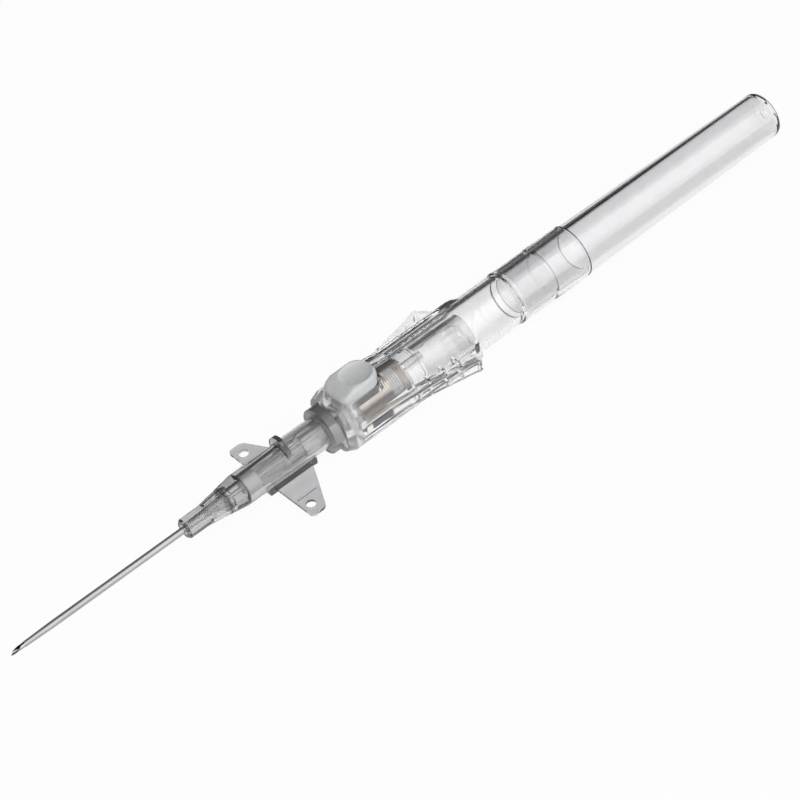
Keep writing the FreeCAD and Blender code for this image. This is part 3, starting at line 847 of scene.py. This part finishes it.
# Painted shade: a dark, broken line painted into the clear plastic's colour low on both flanks, switched on and
# off by station.
painted_shade_line_steps = ((60.0, 0), (65.2, 1), (70.2, 0), (71.6, 1), (72.3, 0), (73.5, 1), (74.2, 0), (74.9, 1), (79.4, 0))
painted_shade_line_end = 80.0
painted_shade_line_reach = (4.45, 4.75)
painted_shade_line_height = (-1.30, -0.05)
painted_shade_line_blend = 0.05
painted_shade_line_colour = (0.03, 0.03, 0.035, 1)


def rounded_box(name, sections, corner, corner_steps=10):
    """Box with four round long edges, pulled through sections of station, half width, top and bottom."""
    station, half, top, bottom = sections[0]
    middle = at(station, 0, (top + bottom) / 2)
    bpy.ops.object.select_all(action="DESELECT")
    bpy.ops.mesh.primitive_plane_add(size=1, location=middle, rotation=along_axis)
    bpy.context.object.scale = ((top - bottom) * MM, 2 * half * MM, 1)
    piece = named(name)
    open_mesh()
    bpy.ops.mesh.bevel(offset=corner * MM, segments=corner_steps, affect="VERTICES")
    bpy.ops.mesh.select_all(action="SELECT")
    for next_station, next_half, next_top, next_bottom in sections[1:]:
        next_middle = at(next_station, 0, (next_top + next_bottom) / 2)
        share = (1, next_half / half, (next_top - next_bottom) / (top - bottom))
        pull(next_middle - middle, share, next_middle)
        middle, half, top, bottom = next_middle, next_half, next_top, next_bottom
    close_mesh()
    return piece


def flare_reach(station):
    """Outer face of the finger flare's blade, on the arc through its root, middle and tip."""
    (x0, y0), (x1, y1), (x2, y2) = flare_root, flare_mid, flare_tip
    return (
        y0 * (station - x1) * (station - x2) / ((x0 - x1) * (x0 - x2))
        + y1 * (station - x0) * (station - x2) / ((x1 - x0) * (x1 - x2))
        + y2 * (station - x0) * (station - x1) / ((x2 - x0) * (x2 - x1)))


def finger_flare(side):
    """Bowed blade on a thin web, with ladder ribs and an end plate along the cheek's slanted rear edge."""
    web_root = chamber_radius + web_lap
    blade_sections, web_sections, plate_sections = [], [], []
    for number in range(flare_steps + 1):
        station = flare_root[0] + (flare_tip[0] - flare_root[0]) * number / flare_steps
        middle_reach = flare_reach(station) - flare_thickness / 2
        blade_sections.append((at(station, side * middle_reach), flare_thickness, 2 * flare_half_height))
        web_sections.append((
            at(station, side * (web_root + middle_reach) / 2), middle_reach - web_root, web_thickness))
    for reach in (web_root, flare_tip[1]):
        edge = cheek_end - (cheek_end - flare_tip[0]) * reach / flare_tip[1]
        plate_sections.append((
            at(edge - end_plate / 2, side * reach), end_plate, 2 * (flare_half_height - rib_inset)))
    blade = drawn("flare", blade_sections, "X")
    join(blade, drawn("web", web_sections, "X"))
    for number in range(flare_rib_count):
        station = flare_first_rib + number * flare_rib_pitch
        inner, outer = sorted((
            side * (web_root - rib_inset), side * (flare_reach(station) - flare_thickness / 2)))
        join(blade, block("rib", (station, inner, rib_inset - flare_half_height), (
            station + flare_rib_thickness, outer, flare_half_height - rib_inset)))
    join(blade, drawn("plate", plate_sections, "Y"))
    return blade


def clear_plastic(name, low, high, ior, roughness, clearness):
    """Clear moulded plastic: faint tint, a polish that varies, and the slow waves that a mould leaves."""
    material, tree, shader, place = new_material(name)
    shader.inputs["Transmission Weight"].default_value = clearness
    shader.inputs["IOR"].default_value = ior
    varied(tree, shader, noise(tree, place, 0.35), low, high, roughness * 0.5, roughness * 1.5)
    bump(tree, shader, noise(tree, stretched(tree, place, (0.25, 1, 1)), 0.8, 1.0), 0.002)
    return material


housing_clear = clear_plastic(
    "housing_clear", (0.93, 0.93, 0.935), (0.975, 0.975, 0.975), 1.52, housing_roughness, housing_clearness)
tree = housing_clear.node_tree
shader = tree.nodes["Principled BSDF"]
station, across, height = axes(tree)
zoned(tree, shader, clouded_from, clouded_end,
      ("Transmission Weight", clouded_clearness, housing_clearness),
      ("Roughness", clouded_roughness, housing_roughness))
# Painted shade: the dark, broken line is mixed into the housing's base colour here.
painted_shade_line_from = painted_shade_line_steps[0][0]
line = added(tree, "ShaderNodeValToRGB", ("Fac", rescaled(tree, station, at(painted_shade_line_from).x, at(painted_shade_line_end).x)))
line.color_ramp.interpolation = "CONSTANT"
for number, (start, shown) in enumerate(painted_shade_line_steps):
    if number > 1:
        line.color_ramp.elements.new(1.0)
    step = line.color_ramp.elements[number]
    step.position = (start - painted_shade_line_from) / (painted_shade_line_end - painted_shade_line_from)
    step.color = (shown, shown, shown, 1)
painted_shade_line_mask = line.outputs["Color"]
for value, low, high in (
        (arithmetic(tree, "ABSOLUTE", across), painted_shade_line_reach[0] * MM, painted_shade_line_reach[1] * MM),
        (height, at(0, 0, painted_shade_line_height[0]).z, at(0, 0, painted_shade_line_height[1]).z)):
    painted_shade_line_mask = arithmetic(tree, "MULTIPLY", painted_shade_line_mask, between(tree, value, low, high, painted_shade_line_blend * MM))
feed(tree, shader, ("Base Color", colour_mix(
    tree, painted_shade_line_mask, shader.inputs["Base Color"].links[0].from_socket, painted_shade_line_colour)))
housing = rounded_box("grip_housing_moulding", [
    (nose_face, face_half, face_half, -face_half), (nose_full, nose_half, saddle_top, -nose_half),
    (saddle_rear, nose_half, saddle_top, -nose_half), (neck_station, neck_half, neck_top, -nose_half),
    (cheek_end + overcut, neck_half, neck_top, -nose_half)], saddle_corner)
for side in (1, -1):
    join(housing, finger_flare(side))
cheek_slant = math.degrees(math.atan2(cheek_end - flare_tip[0], flare_tip[1]))
for side in (1, -1):
    behind = block("behind_cheek", (cheek_end, -beyond, -beyond), (cheek_end + beyond, beyond, beyond))
    cut(housing, turn_about(behind, side * cheek_slant, "Z", at(cheek_end)))
barrel_outline = [(neck_station + barrel_lap, 0), (neck_station + barrel_lap, barrel_radius)]
for start, radius in ring_starts:
    barrel_outline += [
        (start, radius), (start + ring_slope, radius - ring_depth),
        (start + ring_slope + ring_width, radius - ring_depth)]
    if start < collar_rear - 2 * ring_slope - ring_width:
        barrel_outline.append((start + 2 * ring_slope + ring_width, collar_radius))
barrel_outline += [(collar_rear, collar_radius - collar_edge), (collar_rear, 0)]
join(housing, turned("barrel", barrel_outline, 160))
spigot_rear = nose_face + spigot_lap
spigot_rear_radius = luer_radius(flange_rear) - luer_gap
join(housing, turned("spigot", [
    (spigot_front, 0), (spigot_front, luer_radius(spigot_front) - luer_gap - spigot_lead_drop),
    (spigot_front + spigot_lead, luer_radius(spigot_front + spigot_lead) - luer_gap),
    (flange_rear, spigot_rear_radius), (spigot_rear, spigot_rear_radius), (spigot_rear, 0)]))
cut(housing, turned("hollow", [
    (spigot_front - overcut, 0), (spigot_front - overcut, spigot_bore), (passage_front, spigot_bore),
    (passage_front, passage_radius), (bulkhead_rear, passage_radius), (bulkhead_rear, chamber_radius),
    (socket_front, chamber_radius), (socket_front, socket_radius), (collar_rear + overcut, socket_radius),
    (collar_rear + overcut, 0)], 128))
button_rear = button_front + button_length
latch_rear = latch_front + latch_thickness
sink = button_travel + well_floor_gap
cap_well = block("well", (
    button_front - button_gap, -button_half_width - button_gap, button_skirt - sink), (
    button_rear + button_gap, button_half_width + button_gap, 2 * button_top))
round_edges(cap_well, lambda a, b: abs(a.z - b.z) > touch, button_corner + button_gap, 8)
roof_half = button_half_width - button_skirt_wall - button_gap
cut(cap_well, block("roof", (latch_rear + button_gap, -roof_half, 0), (
    button_rear + overcut, roof_half, button_underside - sink)))
cut(housing, cap_well)
cut(housing, block("well", (
    latch_front - button_gap, -latch_half_width - button_gap, latch_bottom - sink), (
    bulkhead_front, latch_half_width + button_gap, button_top)))
smooth(housing, 28.0)
finished(housing, housing_clear, "barrel", "housing_clear", "grip_housing")


# Push button: soft satin grey-blue moulding, dished for the thumb and sloped at the front. Its latch plate
# reaches down through the saddle and holds the needle hub's head in a keyhole.
button_front_drop = 1.1
button_rear_corner = 2.3
button_crown = 0.62
crown_floor = 4.3
dish_station = 67.05
dish_length = 5.5
dish_width = 4.7
dish_depth = 0.75
keyhole_radius = 1.62
keyslot_radius = 1.07
latch_lap = 0.2
mesh_cell = 0.06
melt_rounds = 12
button_bleed = 0.5
button_plastic, tree, shader, place = new_material("button_plastic")
mottle = noise(tree, place, 1.2, 3.0)
grain = noise(tree, place, 22.0)
feed(tree, shader, ("Base Color", ramp(tree, mottle, (0.64, 0.645, 0.65), (0.70, 0.705, 0.71))),
     ("Roughness", ramp(tree, grain, (0.30,) * 3, (0.42,) * 3)))
bump(tree, shader, grain, 0.002)
shader.inputs["Subsurface Weight"].default_value = 0.1
shader.inputs["Subsurface Radius"].default_value = (button_bleed * MM, button_bleed * MM, button_bleed * MM)
button = block("push_button_cap", (button_front, -button_half_width, button_skirt), (
    button_rear, button_half_width, button_top))
slope_end = at(dish_station - dish_length / 2)
open_mesh()
bpy.ops.mesh.bisect(plane_co=slope_end, plane_no=(1, 0, 0), clear_outer=False, use_fill=False)
bpy.ops.mesh.select_all(action="DESELECT")
bpy.ops.object.mode_set(mode="OBJECT")
front_top = at(button_front, 0, button_top)
for point in button.data.vertices:
    point.select = point.co.x < front_top.x + touch and point.co.z > front_top.z - touch
bpy.ops.object.mode_set(mode="EDIT")
bpy.ops.transform.translate(value=(0, 0, -button_front_drop * MM))
bpy.ops.object.mode_set(mode="OBJECT")
for face, corner in ((at(button_front).x, button_corner), (at(button_rear).x, button_rear_corner)):
    round_edges(button, lambda a, b: level(a.x, b.x, face) and abs(a.z - b.z) > touch, corner, 10)
rim_level = at(0, 0, crown_floor).z
round_edges(
    button, lambda a, b: min(a.z, b.z) > rim_level and not level(a.x, b.x, slope_end.x), button_crown, 7)
bpy.ops.object.select_all(action="DESELECT")
bpy.ops.mesh.primitive_uv_sphere_add(
    segments=128, ring_count=64, radius=dish_length / 2 * MM, location=at(dish_station, 0, button_top))
bpy.context.object.scale = (1, dish_width / dish_length, 2 * dish_depth / dish_length)
cut(button, named("ball"))
cut(button, block("hollow", (latch_rear, button_skirt_wall - button_half_width, 0), (
    button_rear + overcut, button_half_width - button_skirt_wall, button_underside)))
latch = block("latch", (latch_front, -latch_half_width, latch_bottom), (
    latch_rear, latch_half_width, button_underside + latch_lap))
latch_floor = at(0, 0, latch_bottom).z
round_edges(
    latch, lambda a, b: level(a.z, b.z, latch_floor) and abs(a.y - b.y) < touch, 0.6 * latch_half_width, 10)
for radius, height in ((keyhole_radius, button_travel), (keyslot_radius, 0.0)):
    keyhole = rod("keyhole", latch_front - overcut, latch_front + 2 * overcut, radius, height)
    cut(latch, keyhole)
join(button, latch)
voxels = button.modifiers.new("even_mesh", "REMESH")
voxels.mode = "VOXEL"
voxels.voxel_size = mesh_cell * MM
melt = button.modifiers.new("melt", "SMOOTH")
melt.factor = 0.5
melt.iterations = melt_rounds
applied(button, voxels)
applied(button, melt)
smooth(button, 60.0)
finished(button, button_plastic, "button", "button_plastic", "push_button")


# Needle hub: clear turned-looking moulding that holds the needle. Its head hangs in the button's latch plate,
# its core runs through the spring, and its flange takes the spring's push. Blood flashes in its rear chamber.
head_front = 61.85
head_radius = 1.50
head_chamfer = 0.25
head_face_radius = 1.05
neck_radius = 0.95
latch_gap = 0.05
core_front = 65.3
core_radius = 1.85
carrier_flange_front = 74.5
carrier_flange_length = 2.3
carrier_flange_radius = 2.95
chamber_outer = 2.70
chamber_wall = 0.5
chamber_floor = 77.6
carrier_rear = 87.0
plug_length = 1.6
plug_gap = 0.04
window_count = 4
window_half_width = 0.45
window_front = 82.0
window_rear = 85.0
carrier_clear = clear_plastic("carrier_clear", (0.93, 0.925, 0.92), (0.97, 0.97, 0.965), 1.50, 0.05, 0.94)
flange_end = carrier_flange_front + carrier_flange_length
chamber_inner = chamber_outer - chamber_wall
carrier = turned("needle_hub_moulding", [
    (head_front, needle_radius), (head_front, head_face_radius), (head_front + head_chamfer, head_radius),
    (latch_front - latch_gap, head_radius), (latch_front - latch_gap, neck_radius), (core_front, neck_radius),
    (core_front, core_radius), (carrier_flange_front, core_radius),
    (carrier_flange_front, carrier_flange_radius), (flange_end, carrier_flange_radius),
    (flange_end, chamber_outer), (carrier_rear, chamber_outer), (carrier_rear, chamber_inner),
    (chamber_floor, chamber_inner), (chamber_floor, needle_radius)])
cut_round(carrier, window_count, (window_front, -window_half_width, chamber_outer - chamber_wall / 2), (
    window_rear, window_half_width, 2 * chamber_outer))
smooth(carrier)
finished(carrier, carrier_clear, "needle_carrier", "carrier_clear", "needle_hub")


# Vent plug: white porous disc that lets air, but no blood, out of the flash chamber.
plug_chamfer = 0.15
porous, tree, shader, place = new_material("vent_white")
pores = noise(tree, place, 9.0, 4.0)
feed(tree, shader, ("Base Color", ramp(tree, pores, (0.93, 0.93, 0.91), (0.98, 0.98, 0.96))),
     ("Roughness", 0.85), ("Alpha", 0.22))
bump(tree, shader, pores, 0.01)
plug_front = carrier_rear - plug_length
plug_radius = chamber_inner - plug_gap
plug = turned("vent_plug_disc", [
    (plug_front, 0), (plug_front, plug_radius), (carrier_rear - plug_chamfer, plug_radius),
    (carrier_rear, plug_radius - plug_chamfer), (carrier_rear, 0)])
smooth(plug)
finished(plug, porous, "needle_carrier", "vent_white", "vent_plug")


# Retraction spring: coiled steel wire, brown from tempering, compressed between the bulkhead and the needle
# hub's flange. Its colour also holds painted highlight and shade, in dark and pale streaks along the coil's
# axis.
spring_radius = 2.90
wire_radius = 0.18
wire_segments = 12
spring_turns = 22
spring_turn_steps = 32
spring_gap = 0.10
tones_end = 80
spring_tones = ((70.9, (0.42, 0.42, 0.42, 1)), (72.7, (0.30, 0.245, 0.20, 1)))
temper_and_painted_shade_dark = (0.03, 0.018, 0.011)
temper_and_painted_highlight_pale = (0.66, 0.58, 0.50)
spring_steel, tree, shader, place = new_material("spring_steel")
# Painted highlight and shade: this noise is stretched along the axis, so the wire's brown runs from near black
# to pale in streaks along the coil.
temper_and_painted_streaks = noise(tree, stretched(tree, place, (0.03, 0.9, 0.9)), 1.0)
temper_and_painted_streak_colour = ramp(tree, temper_and_painted_streaks, temper_and_painted_shade_dark, temper_and_painted_highlight_pale, 0.40, 0.62)
for from_station, tone in spring_tones:
    rear_coils = between(tree, axes(tree)["X"], at(from_station).x, at(tones_end).x, tint_blend * MM)
    temper_and_painted_streak_colour = colour_mix(tree, rear_coils, temper_and_painted_streak_colour, tone)
shader.inputs["Metallic"].default_value = 1.0
feed(tree, shader, ("Base Color", temper_and_painted_streak_colour), ("Roughness", ramp(tree, temper_and_painted_streaks, (0.16,) * 3, (0.24,) * 3)))
spring_start = bulkhead_rear + spring_gap + wire_radius
spring_end = carrier_flange_front - spring_gap - wire_radius
bpy.ops.object.select_all(action="DESELECT")
bpy.ops.mesh.primitive_circle_add(
    vertices=wire_segments, radius=wire_radius * MM, fill_type="NGON",
    location=at(spring_start, 0, spring_radius - wire_radius), rotation=(math.pi / 2, 0, 0))
spring = named("retraction_spring_coil")
spring.location = (0, 0, 0)
bpy.context.scene.cursor.location = at(spring_start)
bpy.ops.object.origin_set(type="ORIGIN_CURSOR")
coil = spring.modifiers.new("coil", "SCREW")
coil.axis = "X"
coil.angle = 2 * math.pi * spring_turns
coil.screw_offset = (spring_end - spring_start) * MM
coil.steps = coil.render_steps = spring_turn_steps * spring_turns
coil.use_merge_vertices = False
applied(spring, coil)
bpy.ops.object.transform_apply()
bpy.ops.object.mode_set(mode="EDIT")
close_mesh()
bpy.context.scene.cursor.location = (0, 0, 0)
smooth(spring, 60.0)
spring.data.materials.clear()
spring.data.materials.append(spring_steel)
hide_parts("retraction_spring")
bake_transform(spring)


# Rear tube: clear closed tube, plugged and glued into the collar. It is drawn slightly narrower towards its
# round closed end, which keeps the mark of the gate.
tube_front_radius = 4.37
tube_rear_radius = 3.88
tube_bore = 3.30
tube_floor = 150.6
tube_floor_round = ((0.6, 0.0), (0.15, 0.2), (0.0, 0.65))
tube_end_round = 1.25
tube_round_steps = 8
spigot_gap = 0.04
bead_front = 102.15
bead_length = 1.2
bead_depth = 0.16
gate_radius = 0.9
gate_depth = 0.25
tube_clear = clear_plastic("tube_clear", (0.82, 0.82, 0.83), (0.86, 0.86, 0.865), 1.52, 0.02, 1.0)
tube_spigot = socket_radius - spigot_gap
gate_floor = overall_length - gate_depth
tube_outline = [(gate_floor, 0), (gate_floor, gate_radius), (overall_length, gate_radius)]
for number in range(tube_round_steps, -1, -1):
    angle = math.radians(90 * number / tube_round_steps)
    tube_outline.append((
        overall_length - tube_end_round * (1 - math.sin(angle)),
        tube_rear_radius - tube_end_round * (1 - math.cos(angle))))
tube_outline += [
    (collar_rear, tube_front_radius), (collar_rear, tube_spigot), (bead_front + bead_length, tube_spigot),
    (bead_front + bead_length, tube_spigot - bead_depth), (bead_front, tube_spigot - bead_depth),
    (bead_front, tube_spigot), (socket_front + spigot_gap, tube_spigot), (socket_front + spigot_gap, tube_bore)]
tube_outline += [(tube_floor - before, tube_bore - inset) for before, inset in tube_floor_round]
tube_outline.append((tube_floor, 0))
rear_tube = turned("rear_tube_shell", tube_outline, 192)
smooth(rear_tube, 30.0)
finished(rear_tube, tube_clear, "barrel", "tube_clear", "rear_tube")
